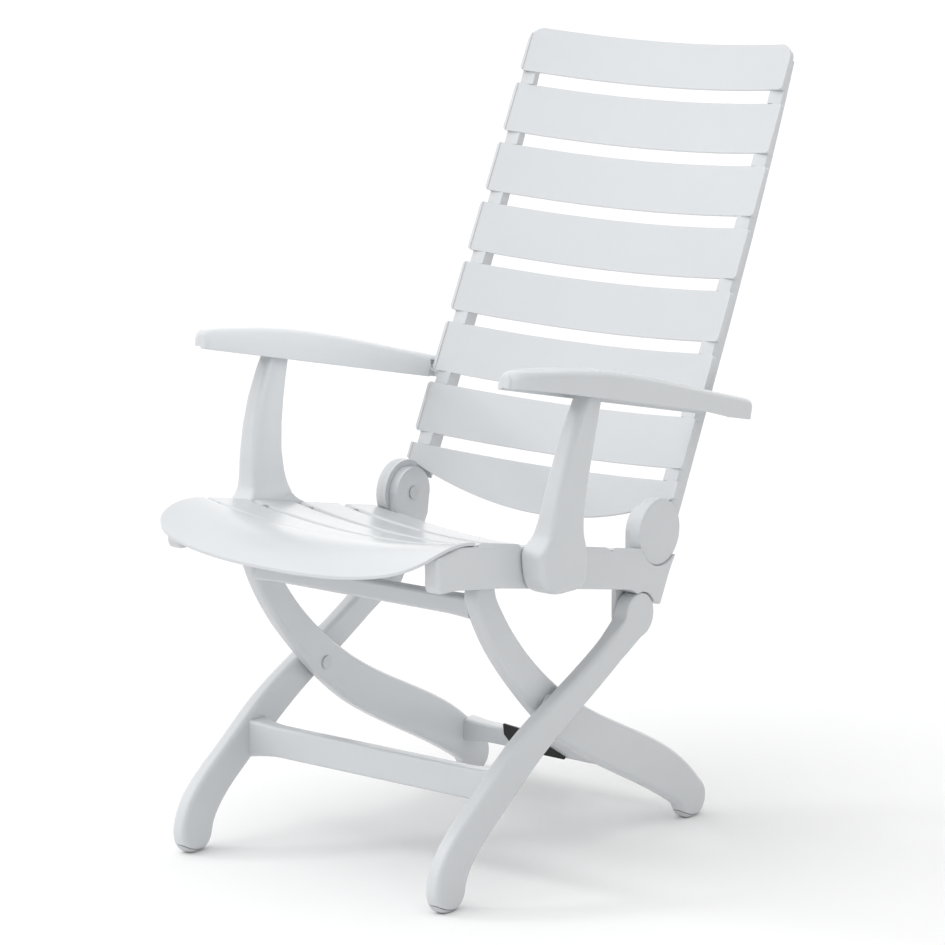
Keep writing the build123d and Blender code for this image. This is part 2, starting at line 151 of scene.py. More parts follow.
def makeResin(name, look):
    material = bpy.data.materials.new(name)
    material.use_nodes = True
    tree = material.node_tree
    shader = tree.nodes["Principled BSDF"]
    pattern = addNode(tree, "ShaderNodeGroup", -500, 0, node_tree=resinGroup)
    pattern.inputs["Base"].default_value = (*look["base"], 1)
    pattern.inputs["Drift"].default_value = (*look["drift"], 1)
    pattern.inputs["Gloss"].default_value = look["gloss"]
    pattern.inputs["Gloss Spread"].default_value = look["spread"]
    pattern.inputs["Grain Scale"].default_value = look["grainScale"]
    pattern.inputs["Grain Depth"].default_value = look["grainDepth"]
    bump = addNode(tree, "ShaderNodeBump", -250, -300)
    bump.inputs["Strength"].default_value = look["bump"]
    bump.inputs["Distance"].default_value = look["bumpHeight"]
    tree.links.new(pattern.outputs["Height"], bump.inputs["Height"])
    tree.links.new(bump.outputs["Normal"], shader.inputs["Normal"])
    tree.links.new(pattern.outputs["Color"], shader.inputs["Base Color"])
    tree.links.new(pattern.outputs["Roughness"], shader.inputs["Roughness"])
    shader.inputs["IOR"].default_value = look["ior"]
    shader.inputs["Specular IOR Level"].default_value = look["specular"]
    return material


# finishes, colours in linear light
resinLook = {"base": (0.605, 0.622, 0.638), "drift": (0.575, 0.593, 0.61), "gloss": 0.205, "spread": 0.085,
             "grainScale": 900.0, "grainDepth": 0.2, "bump": 0.12, "bumpHeight": 0.4 * mm, "ior": 1.5, "specular": 0.5}
armLook = dict(resinLook, base=(0.60, 0.618, 0.634), drift=(0.57, 0.588, 0.605))
pinLook = dict(resinLook, base=(0.56, 0.572, 0.585), drift=(0.50, 0.512, 0.525), gloss=0.27)
glideLook = dict(resinLook, base=(0.57, 0.585, 0.60), drift=(0.50, 0.515, 0.53), gloss=0.34)
# the slats' turned-down edges, darker: painted shade for the gaps between the slats
paintedGapShadeLook = dict(resinLook, base=(0.40, 0.415, 0.43), drift=(0.46, 0.474, 0.488), gloss=0.5)
clipLook = {"base": (0.012, 0.012, 0.013), "drift": (0.02, 0.02, 0.021), "gloss": 0.45, "spread": 0.25,
            "grainScale": 700.0, "grainDepth": 0.6, "bump": 0.5, "bumpHeight": 0.4 * mm, "ior": 1.48, "specular": 0.4}
resin, gapResin = makeResin("paleResin", resinLook), makeResin("gapResin", paintedGapShadeLook)
finishes = {"slat": resin, "frame": resin, "arm": makeResin("armResin", armLook),
            "pin": makeResin("pinResin", pinLook), "glide": makeResin("glideResin", glideLook),
            "black": makeResin("clipResin", clipLook)}
slotOf = {entry["node"]: entry["material_slot"] for entry in frame["record"]["subparts"]}
print("stage 2: finishes made")

# places that the pieces are built around, all read from the model
pivots = {joint["name"]: joint["pos_m"] for joint in frame["joints"]}
postHinge, armHinge = pivots["post_fold_left"], pivots["arm_fold_left"]
legCross, seatHinge, backHinge = pivots["leg_fold"], pivots["seat_turn"], pivots["back_fold"]
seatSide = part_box("seat_slat_3")[1][0]
down = Vector((0, 0, -1))
past = 0.01  # how far a cutting shape reaches beyond what it cuts
dressed = set()

# edges sharper than keepSharp, in degrees, stay crisp in the shading
shading = {"keepSharp": 40}


# gives a piece the finish of its node and its place in the model
def finishPiece(piece, name):
    mesh = piece.data
    mesh.polygons.foreach_set("use_smooth", [True] * len(mesh.polygons))
    mesh.set_sharp_from_angle(angle=math.radians(shading["keepSharp"]))
    piece.modifiers.new("even shading", "WEIGHTED_NORMAL").keep_sharp = True
    mesh.materials.clear()
    mesh.materials.append(finishes[slotOf[name]])
    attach(piece, nodes[name]["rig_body"])
    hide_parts(name)
    dressed.add(name)


def newObject(name, mesh):
    piece = bpy.data.objects.new(name, mesh)
    bpy.context.scene.collection.objects.link(piece)
    return piece


def mirrored(piece, name):
    mesh = piece.data.copy()
    for vertex in mesh.vertices:
        vertex.co.x = -vertex.co.x
    mesh.flip_normals()
    mesh.name = name
    return newObject(name, mesh)


# the piece stands for the left node, and its mirror image for the right one
def bothSides(piece, baseName):
    twin = mirrored(piece, piece.name.replace("_left", "_right"))
    finishPiece(piece, baseName + "_left")
    finishPiece(twin, baseName + "_right")


def clamped(value):
    return max(0.0, min(1.0, value))


# how close counts as the same: points to weld, a face's direction and place, a point's digits in metres, the seam
sameEnough = {"weld": 1e-5, "facing": 0.999, "plane": 3e-4, "digits": 5, "seam": 2e-5}


# a node's or piece's mesh, its doubled points welded
def welded(mesh):
    shape = bmesh.new()
    shape.from_mesh(mesh)
    bmesh.ops.remove_doubles(shape, verts=shape.verts, dist=sameEnough["weld"])
    return shape


# closed skin over rings of points, all of one length
def skin(name, rings):
    count = len(rings[0])
    points = [p for ring in rings for p in ring]
    faces = []
    for k in range(len(rings) - 1):
        for i in range(count):
            j = (i + 1) % count
            faces.append((k * count + i, k * count + j, (k + 1) * count + j, (k + 1) * count + i))
    for start, ring in ((0, rings[0]), ((len(rings) - 1) * count, rings[-1])):
        faces += [tuple(start + i for i in corner) for corner in tessellate_polygon([[Vector(p) for p in ring]])]
    mesh = bpy.data.meshes.new(name)
    mesh.from_pydata(points, [], faces)
    shape = bmesh.new()
    shape.from_mesh(mesh)
    bmesh.ops.recalc_face_normals(shape, faces=shape.faces)
    if shape.calc_volume(signed=True) < 0:
        bmesh.ops.reverse_faces(shape, faces=shape.faces)
    shape.to_mesh(mesh)
    shape.free()
    return newObject(name, mesh)


# a side outline of (y, z) points made solid from x0 to x1
def block(name, outline, x0, x1):
    return skin(name, [[(x, y, z) for y, z in outline] for x in (x0, x1)])


def circle(at, radius, count=40):
    turns = [2 * math.pi * k / count for k in range(count)]
    return [(at[1] + radius * math.cos(turn), at[2] + radius * math.sin(turn)) for turn in turns]


# a quarter circle of points about (a, b), from the start angle on
def quarter(a, b, radius, start, steps):
    turns = [math.radians(start + 90 / steps * k) for k in range(steps + 1)]
    return [(a + radius * math.cos(turn), b + radius * math.sin(turn)) for turn in turns]


def rod(name, at, radius, x0, x1):
    return block(name, circle(at, radius), x0, x1)


# cuts with a tool shape, or keeps what both share, and throws the tool away
def carve(piece, tool, operation="DIFFERENCE"):
    modifier = piece.modifiers.new("carve", "BOOLEAN")
    modifier.operation = operation
    modifier.solver = "EXACT"
    modifier.object = tool
    bpy.context.view_layer.update()
    graph = bpy.context.evaluated_depsgraph_get()
    mesh = bpy.data.meshes.new_from_object(piece.evaluated_get(graph), depsgraph=graph)
    piece.modifiers.remove(modifier)
    old = piece.data
    piece.data = mesh
    bpy.data.meshes.remove(old)
    bpy.data.objects.remove(tool)


# adds another shape's faces to a piece
def joined(piece, other):
    shape = bmesh.new()
    shape.from_mesh(piece.data)
    shape.from_mesh(other.data)
    shape.to_mesh(piece.data)
    shape.free()
    bpy.data.objects.remove(other)


# closed outline, as (y, z), of the flat sides of nodes at x, without the holes, from its lowest point on
def sideOutline(names, x, seam=None):
    spots, index, edges = [], {}, {}
    for name in names:
        shape = welded(nodes[name].data)
        shape.normal_update()
        flat = {f for f in shape.faces if abs(f.normal.x) > sameEnough["facing"]
                and abs(f.calc_center_median().x - x) < sameEnough["plane"]}
        for edge in shape.edges:
            if sum(1 for f in edge.link_faces if f in flat) != 1:
                continue
            ends = []
            for vertex in edge.verts:
                key = (round(vertex.co.y, sameEnough["digits"]), round(vertex.co.z, sameEnough["digits"]))
                if key not in index:
                    index[key] = len(spots)
                    spots.append(key)
                ends.append(index[key])
            if seam is not None and all(abs(spots[i][1] - seam) < sameEnough["seam"] for i in ends):
                continue
            edges.setdefault(ends[0], []).append(ends[1])
            edges.setdefault(ends[1], []).append(ends[0])
        shape.free()
    loops, left = [], set(edges)
    while left:
        here = min(left)
        loop, previous = [], None
        while here is not None:
            left.discard(here)
            loop.append(spots[here])
            ahead = [n for n in edges[here] if n != previous and n in left]
            previous, here = here, ahead[0] if ahead else None
        loops.append(loop)

    def boxArea(loop):
        ys, zs = [p[0] for p in loop], [p[1] for p in loop]
        return (max(ys) - min(ys)) * (max(zs) - min(zs))

    loop = max(loops, key=boxArea)
    area = sum(a[0] * b[1] - b[0] * a[1] for a, b in zip(loop, loop[1:] + loop[:1]))
    loop = loop if area > 0 else loop[::-1]
    first = loop.index(min(loop, key=lambda p: (p[1], p[0])))
    return loop[first:] + loop[:first]


# the same outline in even steps, its corners a little softer after each round
def evenOutline(loop, step, rounds):
    lengths = [math.dist(a, b) for a, b in zip(loop, loop[1:] + loop[:1])]
    total = sum(lengths)
    count = max(24, round(total / step))
    points, edge, walked = [], 0, 0.0
    for k in range(count):
        goal = total * k / count
        while walked + lengths[edge] < goal:
            walked += lengths[edge]
            edge += 1
        a, b = loop[edge], loop[(edge + 1) % len(loop)]
        t = (goal - walked) / max(lengths[edge], 1e-9)
        points.append((a[0] + (b[0] - a[0]) * t, a[1] + (b[1] - a[1]) * t))
    for _ in range(rounds):
        trios = [(points[i - 1], points[i], points[(i + 1) % count]) for i in range(count)]
        points = [tuple(0.25 * a + 0.5 * b + 0.25 * c for a, b, c in zip(*trio)) for trio in trios]
    return points


# pushes an outline's points out to a radius or more from a pivot
def pushedOut(outline, at, radius):
    hub = (at[1], at[2])
    return [tuple(h + (c - h) * max(1.0, radius / math.dist(q, hub)) for c, h in zip(q, hub)) for q in outline]


# how far an outline's point is from the outline's other side, going inward
def clearWidth(outline, i, way):
    py, pz = outline[i]
    nearest, count = 1.0, len(outline)
    for j in range(count):
        if j == i or (j + 1) % count == i:
            continue
        (ay, az), (by, bz) = outline[j], outline[(j + 1) % count]
        ey, ez = by - ay, bz - az
        cross = way[0] * ez - way[1] * ey
        if abs(cross) < 1e-12:
            continue
        t = ((ay - py) * ez - (az - pz) * ey) / cross
        share = ((ay - py) * way[1] - (az - pz) * way[0]) / cross
        if t > 1e-6 and 0 <= share <= 1:
            nearest = min(nearest, t)
    return nearest


# widthShare is the most of the width inside that a rounding takes;
# cornerScale keeps a sharp corner's point from going in too far
plateLimits = {"widthShare": 0.42, "cornerScale": 0.5}


# a side outline as thick as x0 to x1, its edges rounded by one radius or by one for each point;
# steps is how many faces round an edge, ease how far a narrow place thins the rounding beside it
def plate(name, outline, x0, x1, radius, steps=5, ease=3):
    count = len(outline)
    radii = list(radius) if isinstance(radius, list) else [radius] * count
    inward = []
    for i in range(count):
        a, b, c = outline[i - 1], outline[i], outline[(i + 1) % count]
        normals = []
        for p, q in ((a, b), (b, c)):
            length = max(math.dist(p, q), 1e-9)
            normals.append((-(q[1] - p[1]) / length, (q[0] - p[0]) / length))
        total = (normals[0][0] + normals[1][0], normals[0][1] + normals[1][1])
        scale = max(total[0] * normals[0][0] + total[1] * normals[0][1], plateLimits["cornerScale"])
        inward.append((total[0] / scale, total[1] / scale))
        radii[i] = min(radii[i], plateLimits["widthShare"] * clearWidth(outline, i, inward[i]))
    for _ in range(ease):
        radii = [min(radii[i], (radii[i - 1] + radii[i] + radii[(i + 1) % count]) / 3) for i in range(count)]
    rings = []
    turns = [math.pi / 2 * k / steps for k in range(steps + 1)]
    for end, sign in ((x0, 1), (x1, -1)):
        for turn in turns if sign > 0 else turns[::-1]:
            rings.append([(end + sign * r * (1 - math.cos(turn)), p[0] + n[0] * r * (1 - math.sin(turn)),
                           p[1] + n[1] * r * (1 - math.sin(turn))) for p, n, r in zip(outline, inward, radii)])
    return skin(name, rings)


# rows of numbers, the first one rising, filled in at even steps and smoothed, with the ends kept
def smoothRows(rows, step, rounds):
    low, high = rows[0][0], rows[-1][0]
    count = max(3, round((high - low) / step) + 1)
    table = []
    for k in range(count):
        at = low + (high - low) * k / (count - 1)
        i = max(j for j in range(len(rows) - 1) if rows[j][0] <= at + 1e-9)
        t = (at - rows[i][0]) / (rows[i + 1][0] - rows[i][0])
        table.append([a + (b - a) * t for a, b in zip(rows[i], rows[i + 1])])
    for _ in range(rounds):
        middle = [[0.25 * a + 0.5 * b + 0.25 * c for a, b, c in zip(table[i - 1], table[i], table[i + 1])]
                  for i in range(1, count - 1)]
        table = [table[0]] + middle + [table[-1]]
    return table


# edges that bend more than sharpFrom are rounded, and faces that bend less than flat become one, in degrees
roundLook = {"segments": 3, "sharpFrom": 28, "flat": 0.6}


# a node's form with every edge rounded
def softShape(name, edge):
    shape = welded(nodes[name].data)
    bmesh.ops.dissolve_limit(shape, angle_limit=math.radians(roundLook["flat"]), verts=shape.verts, edges=shape.edges)
    sharp = [e for e in shape.edges if e.is_manifold and e.calc_face_angle(0) > math.radians(roundLook["sharpFrom"])]
    bmesh.ops.bevel(shape, geom=sharp, offset=edge, segments=roundLook["segments"], profile=0.5, affect="EDGES",
                    clamp_overlap=True, loop_slide=True, harden_normals=False, miter_outer="SHARP")
    mesh = bpy.data.meshes.new(name + "_moulded")
    shape.to_mesh(mesh)
    shape.free()
    return newObject(name + "_moulded", mesh)


def topFinder(name):
    source = bmesh.new()
    source.from_mesh(nodes[name].data)
    tree = BVHTree.FromBMesh(source)
    source.free()
    return tree


# legs, with a rounded foot and, at the front legs' top, a round head
legShape = {"edge": 7.5 * mm, "step": 3.0 * mm, "soften": 5, "ease": 2, "soleBelow": 20 * mm,
            "headRadius": 31.3 * mm, "headSoften": 2, "headEdge": 2.6 * mm, "headEdgeTo": 34 * mm,
            "headEdgeFade": 35 * mm, "dimple": 6.5 * mm, "dimpleDepth": 1.0 * mm}
# foot caps: the line above one bows up by bow times the distance squared, as far as reach
capShape = {"rise": 3.0 * mm, "bow": 8.5, "reach": 42 * mm, "shift": 8.0 * mm, "slit": 0.9 * mm,
            "step": 5 * mm, "steps": (-14, 13), "under": 20 * mm}


# everything below the bowed line between a foot cap and its leg
def soleBlock(middle, lift, x0, x1):
    line = [middle + capShape["step"] * k for k in range(*capShape["steps"])]
    bows = [capShape["bow"] * min(abs(y - middle), capShape["reach"]) ** 2 for y in line]
    edge = [(y, capShape["rise"] + lift + bow) for y, bow in zip(line, bows)]
    edge += [(line[-1], -capShape["under"]), (line[0], -capShape["under"])]
    return block("soleBlock", edge, x0 - past, x1 + past)


def makeLeg(which):
    low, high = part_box(which + "_leg_left")
    capLow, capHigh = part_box(which + "_foot_glide_left")
    outline = sideOutline([which + "_leg_left", which + "_foot_glide_left"], high[0], seam=capHigh[2])
    outline = evenOutline(outline, legShape["step"], legShape["soften"])
    lift = min(p[1] for p in outline)
    outline = [(y, z - lift if z < legShape["soleBelow"] else z) for y, z in outline]
    radii = legShape["edge"]
    if which == "front":
        outline = pushedOut(outline, seatHinge, legShape["headRadius"])
        outline = evenOutline(outline, legShape["step"], legShape["headSoften"])
        radii = []
        for point in outline:
            away = clamped((math.dist(point, seatHinge[1:]) - legShape["headEdgeTo"]) / legShape["headEdgeFade"])
            radii.append(legShape["headEdge"] + (legShape["edge"] - legShape["headEdge"]) * away)
    leg = plate(which + "_leg_moulded_left", outline, low[0], high[0], radii, ease=legShape["ease"])
    cap = newObject(which + "_foot_glide_moulded_left", leg.data.copy())
    middle = (capLow[1] + capHigh[1]) / 2 + capShape["shift"]
    carve(cap, soleBlock(middle, 0, low[0], high[0]), "INTERSECT")
    carve(leg, soleBlock(middle, capShape["slit"], low[0], high[0]))
    if which == "rear":
        carve(leg, rod("dimple", legCross, legShape["dimple"], low[0] - past, low[0] + legShape["dimpleDepth"]))
    bothSides(leg, which + "_leg")
    bothSides(cap, which + "_foot_glide")


for which in ("front", "rear"):
    makeLeg(which)
print("stage 3: legs and foot caps made")

# arm posts, smooth from a broad foot to a slim head that goes up into the armrest; all but the shares in mm
# rows: up from the hinge, front, rear, inner and outer face, channel on the inner face; x counts from the seat's side
postShape = {"rows": [(-51, 16, 69, 3, 37.5, 0), (-45, 1, 77, 1, 39.5, 0), (-38, -8, 80, 0.7, 40, 0),
                      (-25, -14, 81, 0.7, 40, 0), (-10, -17, 82, 0.7, 40, 0), (0, -18, 81.5, 0.7, 40, 0),
                      (8, -18.5, 80, 0.7, 40, 0), (14, -15, 78, 1.2, 40, 0.2), (20, -8, 76, 2.6, 40.2, 0.6),
                      (30, -0.5, 73.5, 6.2, 41, 1.2), (45, 3.5, 71.5, 9.6, 42.5, 2), (75, 8.5, 72, 14.8, 45, 3),
                      (113, 18, 78, 19.5, 47.5, 3.2), (151, 31, 86, 22.5, 49, 3.2), (188, 49, 95, 24.2, 49.8, 2.5),
                      (217, 66, 102, 25, 50, 1)],
             "step": 2.5, "smooth": 2, "corners": (5.5, 10.0), "cornerShare": 0.45,
             "footRound": 6.0, "footRoundIn": 0.4, "slotRadius": 14.2, "slotHalf": 5.3}
# the lip at the foot, as (y, z) from the hinge, and from and to as x from the seat's side
lipShape = {"outline": [(60, 13), (75, 13), (80.5, 7), (90, 1), (106, -6), (60, -6)],
            "from": 0.9, "to": 12, "edge": 1.2, "step": 2.0, "soften": 3, "steps": 3}


# one level of a post: a rounded box whose inner face sinks by hollow
def boxRing(y0, y1, x0, x1, hollow, z):
    widest = (postShape["cornerShare"] * (y1 - y0), postShape["cornerShare"] * (x1 - x0))
    inner, outer = (min(corner * mm, *widest) for corner in postShape["corners"])
    ring = []
    for cx, cy, r, start in ((x1 - outer, y1 - outer, outer, 0), (x0 + inner, y1 - inner, inner, 90),
                             (x0 + inner, y0 + inner, inner, 180), (x1 - outer, y0 + outer, outer, 270)):
        ring += quarter(cx, cy, r, start, 6)
        if start == 90:
            for k in range(1, 12):
                t = k / 12
                ring.append((x0 + hollow * math.sin(math.pi * t) ** 2, y1 - r + (y0 - y1 + 2 * r) * t))
    return [(x, y, z) for x, y in ring]


def makePost():
    rows = smoothRows(postShape["rows"], postShape["step"], postShape["smooth"])
    bottom, radius = rows[0][0], postShape["footRound"]
    rings = []
    for up, front, rear, inner, outer, hollow in rows:
        gap = min(up - bottom, radius)
        inset = radius - math.sqrt(max(radius ** 2 - (radius - gap) ** 2, 0))
        rings.append(boxRing(postHinge[1] + (front + inset) * mm, postHinge[1] + (rear - inset) * mm,
                             seatSide + (inner + inset * postShape["footRoundIn"]) * mm,
                             seatSide + (outer - inset) * mm, hollow * mm, postHinge[2] + up * mm))
    post = skin("arm_post_moulded_left", rings)
    armMiddle, half = sum(c[0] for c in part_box("armrest_left")) / 2, postShape["slotHalf"] * mm
    carve(post, rod("slot", armHinge, postShape["slotRadius"] * mm, armMiddle - half, armMiddle + half))
    lip = [(postHinge[1] + y * mm, postHinge[2] + z * mm) for y, z in lipShape["outline"]]
    lip = evenOutline(lip, lipShape["step"] * mm, lipShape["soften"])
    joined(post, plate("lip", lip, seatSide + lipShape["from"] * mm, seatSide + lipShape["to"] * mm,
                       lipShape["edge"] * mm, lipShape["steps"]))
    bothSides(post, "arm_post")


makePost()
print("stage 4: arm posts made")

# armrests, crowned shells with soft shoulders; all in mm but drop, in degrees
# rows: along from the hinge, inner and outer side from the seat's side, height of the crown
armShape = {"rows": [(-168, 15, 36, 22), (-166, 12, 40.5, 24), (-160, 9.6, 46, 26.4), (-150, 8.2, 51.5, 28.8),
                     (-135, 7.8, 57, 31), (-110, 7.5, 61.5, 34), (-80, 7.4, 64, 37), (-40, 7, 64.6, 40),
                     (0, 6.6, 64, 42.4), (50, 6.2, 62.8, 43), (110, 5.8, 59.5, 42), (170, 5.3, 55.5, 39.6),
                     (230, 4.8, 51.5, 36.4), (290, 4.3, 48, 33.8), (340, 3.9, 45, 31.6), (358, 3.8, 44.4, 30.6),
                     (366, 4.2, 43.6, 29.6)],
            "step": 6.0, "smooth": 2, "tipRows": 5, "tipStep": 1.5, "drop": 11.9, "under": (-1.0, -6.5),
            "shoulder": (17.0, 24.0), "corner": 9.0, "bulge": 2.0, "wall": 4.0, "lowerEdge": 1.2,
            # roundings take this share of the width at most, and leave this much upright side below them
            "widthShare": 0.42, "sideIn": 3.0, "sideOut": 2.0,
            # the outer lower edge rolls up by roll, which dies away from rollTo over rollFade
            "roll": 5.5, "leastRoll": 0.8, "rollTo": 316, "rollFade": 60, "rollWidth": 57,
            # the hollow under the crown: how thick the crown is and how far it follows the shoulder,
            # the walls' slant, and how far from each end it starts and how long it takes to deepen
            "ceiling": 4.5, "followShoulder": 0.45, "slant": 1.0, "hollowTip": (14, 30), "hollowRear": (6, 12),
            "coreIn": 1.6,
            # the opening on the inner side for the back's rail and stud, and where it starts and ends across
            "cut": [(305.5, -10), (365, -10), (365, 23.6), (305.5, 23.6)], "cutFrom": -30, "cutTo": 22.5,
            # beads at the ends, as ahead and inset, and how much of the inset lifts the lower edge
            "beads": [(1.4, 0.5), (2.5, 1.4), (3.2, 2.8), (3.4, 4.4)], "rearLift": 0.5, "tipLift": 0.2}


# (y, z) at u along the armrest's lower edge and v above it
def onArm(u, v):
    a = math.radians(armShape["drop"])
    y0, z0 = armHinge[1] + armShape["under"][0] * mm, armHinge[2] + armShape["under"][1] * mm
    return (y0 + (u * math.cos(a) + v * math.sin(a)) * mm, z0 + (v * math.cos(a) - u * math.sin(a)) * mm)


# one section across the armrest, its inner shoulder wider than its outer one
def armRing(u, inner, outer, crown, depth, grow=0.0, hollow=True, lift=0.0):
    x0, x1 = inner - grow, outer + grow
    width = x1 - x0
    rollShare = clamped((armShape["rollTo"] - u) / armShape["rollFade"])
    least, lower = armShape["leastRoll"], armShape["lowerEdge"]
    roll = least + (armShape["roll"] - least) * rollShare * width / armShape["rollWidth"]
    lowIn, lowOut = lift - grow, roll + lift - grow
    top = crown + grow
    widest = armShape["widthShare"] * width
    wide, tall = min(armShape["shoulder"][0], widest), min(armShape["shoulder"][1], top - lowIn - armShape["sideIn"])
    corner = min(armShape["corner"], widest, top - lowOut - armShape["sideOut"])
    points = [(x0 + lower, lowIn), (x0, lowIn + lower)]
    for k in range(13):
        turn = math.pi - math.pi / 2 * k / 12
        points.append((x0 + wide + wide * math.cos(turn), top - tall + tall * math.sin(turn)))
    for k in range(1, 8):
        points.append((x0 + wide + (width - wide - corner) * k / 8, top))
    for k in range(9):
        turn = math.pi / 2 - math.pi / 2 * k / 8
        points.append((x1 - corner + corner * math.cos(turn), top - corner + corner * math.sin(turn)))
    points += [(x1, lowOut + lower), (x1 - lower, lowOut)]
    # the top falls away outward, the lower edge doesn't
    points = [(x, v - armShape["bulge"] * max(0.0, (x - x0 - wide) / (width - wide)) ** 2 if v > lowOut + 2 else v)
              for x, v in points]
    if hollow:
        wall, slant = armShape["wall"], armShape["slant"]
        ceiling = top - tall * armShape["followShoulder"] - armShape["ceiling"]
        deep = max(lowOut + slant, lowOut + (ceiling - lowOut) * depth)
        points += [(x1 - wall, lowOut), (x1 - wall - slant, deep), ((x0 + x1) / 2, deep), (x0 + wall + slant, deep),
                   (x0 + wall, lowIn)]
    return [(seatSide + x * mm, *onArm(u, v)) for x, v in points]


def makeArmrest():
    rows = smoothRows(armShape["rows"], armShape["step"], armShape["smooth"])
    tip = smoothRows(armShape["rows"][:armShape["tipRows"]], armShape["tipStep"], armShape["smooth"])
    rows = tip + [row for row in rows if row[0] > tip[-1][0] + armShape["step"] / 2]
    first, last = rows[0][0], rows[-1][0]
    (tipStart, tipFade), (rearStart, rearFade) = armShape["hollowTip"], armShape["hollowRear"]
    rings, coreRings = [], []
    for u, inner, outer, crown in rows:
        depth = clamped(min((u - first - tipStart) / tipFade, (last - u - rearStart) / rearFade))
        rings.append(armRing(u, inner, outer, crown, depth))
        coreRings.append(armRing(u, inner, outer, crown, 0, grow=-armShape["coreIn"], hollow=False))
    for ahead, inset in armShape["beads"]:
        u, inner, outer, crown = rows[-1]
        rings.append(armRing(u + ahead, inner + inset, outer - inset, crown - inset, 0,
                             lift=armShape["rearLift"] * inset))
        u, inner, outer, crown = rows[0]
        rings.insert(0, armRing(u - ahead, inner + inset, outer - inset, crown - inset, 0,
                                lift=armShape["tipLift"] * inset))
    arm = skin("armrest_moulded_left", rings)
    cut = [onArm(u, v) for u, v in armShape["cut"]]
    carve(arm, block("blade", cut, seatSide + armShape["cutFrom"] * mm, seatSide + armShape["cutTo"] * mm))
    # the solid's own inside, with the slots for the post's head and the stud
    inside = newObject("inside", nodes["armrest_left"].data.copy())
    shape = welded(inside.data)
    shape.to_mesh(inside.data)
    shape.free()
    carve(inside, skin("core", coreRings), "INTERSECT")
    joined(arm, inside)
    bothSides(arm, "armrest")


makeArmrest()
print("stage 5: armrests made")

# the line of the seat slats' top near their ends: slope in degrees, and where its height is read
seatShape = {"slope": 10.6, "readSlat": "seat_slat_5", "readIn": 30 * mm, "readFrom": 0.6}
seatSlope = math.radians(seatShape["slope"])
readY = sum(c[1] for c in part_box(seatShape["readSlat"])) / 2
readAt = Vector((seatSide - seatShape["readIn"], readY, seatShape["readFrom"]))
readZ = topFinder(seatShape["readSlat"]).ray_cast(readAt, down)[0].z


def seatTopAt(y):
    return readZ - math.tan(seatSlope) * (y - readY)


# seat rails: in is from the seat's side inward, root is where the rail's own form goes up to the ear
railShape = {"edge": 0.0026, "nose": 30 * mm, "rootLength": 55 * mm, "rootIn": (40 * mm, 20.9 * mm),
             "rootClear": 0.6 * mm, "rootAbove": 20 * mm, "hoodIn": 26.4 * mm}
# the cheek that closes the side rises to the slats, by mostRise at most, over riseOver from the nose on
cheekShape = {"step": 3.0 * mm, "in": 26.8 * mm, "out": 0.35 * mm, "hood": 32.2 * mm, "earRadius": 36.8 * mm,
              "under": 1.6 * mm, "mostRise": 22 * mm, "riseOver": 30 * mm, "earClear": 4 * mm,
              "edge": 2.2 * mm, "noseEdge": 8.0 * mm, "noseEdgeTo": 50 * mm, "noseEdgeFade": 20 * mm,
              "bendFrom": 0.05, "bendShare": 0.8, "soften": 1, "steps": 4, "ease": 12}


def makeSeatRail():
    low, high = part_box("seat_rail_left")
    rail = softShape("seat_rail_left", railShape["edge"])
    front, nose = low[1] - past, low[1] + railShape["nose"]
    noseCut = [(front, low[2]), (nose, low[2]), (nose, high[2]), (front, high[2])]
    carve(rail, block("noseCut", noseCut, low[0] - past, high[0] + past))
    earFront = backHinge[1] - cheekShape["earRadius"]
    rootFront, rootTop = earFront - railShape["rootLength"], backHinge[2] + railShape["rootAbove"]
    rootCut = [(y, seatTopAt(y) + railShape["rootClear"]) for y in (rootFront, earFront)]
    rootCut += [(earFront, rootTop), (rootFront, rootTop)]
    carve(rail, block("rootCut", rootCut, *(seatSide - inward for inward in railShape["rootIn"])))
    outline = evenOutline(sideOutline(["seat_rail_left"], high[0]), cheekShape["step"], cheekShape["soften"])
    for i, (y, z) in enumerate(outline):
        short = seatTopAt(y) - cheekShape["under"] - z
        share = clamped((y - low[1] - railShape["nose"]) / cheekShape["riseOver"])
        if 0 < short < cheekShape["mostRise"] and y < earFront - cheekShape["earClear"]:
            outline[i] = (y, z + short * share)
    outline = pushedOut(outline, seatHinge, cheekShape["hood"])
    carve(rail, rod("hood", seatHinge, cheekShape["hood"], seatSide - railShape["hoodIn"], high[0] + past))
    edge, noseEdge, noseTo = cheekShape["edge"], cheekShape["noseEdge"], low[1] + cheekShape["noseEdgeTo"]
    radii = [edge + (noseEdge - edge) * clamped((noseTo - y) / cheekShape["noseEdgeFade"]) for y, z in outline]
    # a rounding can't be wider than the outline's own bend
    for i, here in enumerate(outline):
        before, after = outline[i - 1], outline[(i + 1) % len(outline)]
        into, out = (here[0] - before[0], here[1] - before[1]), (after[0] - here[0], after[1] - here[1])
        bend = math.atan2(into[0] * out[1] - into[1] * out[0], into[0] * out[0] + into[1] * out[1])
        if bend > cheekShape["bendFrom"]:
            radii[i] = min(radii[i], cheekShape["bendShare"] * math.dist(here, after) / bend)
    joined(rail, plate("cheek", outline, seatSide - cheekShape["in"], seatSide + cheekShape["out"], radii,
                       cheekShape["steps"], cheekShape["ease"]))
    bothSides(rail, "seat_rail")


# back rails, with a plain round cap over the hinge that stands proud of the rail
backRailShape = {"edge": 2.8 * mm, "capRadius": 46.4 * mm, "capEdge": 2.5 * mm, "capSides": 72,
                 "capIn": 8.0 * mm, "capProud": 4.5 * mm, "capSteps": 4}


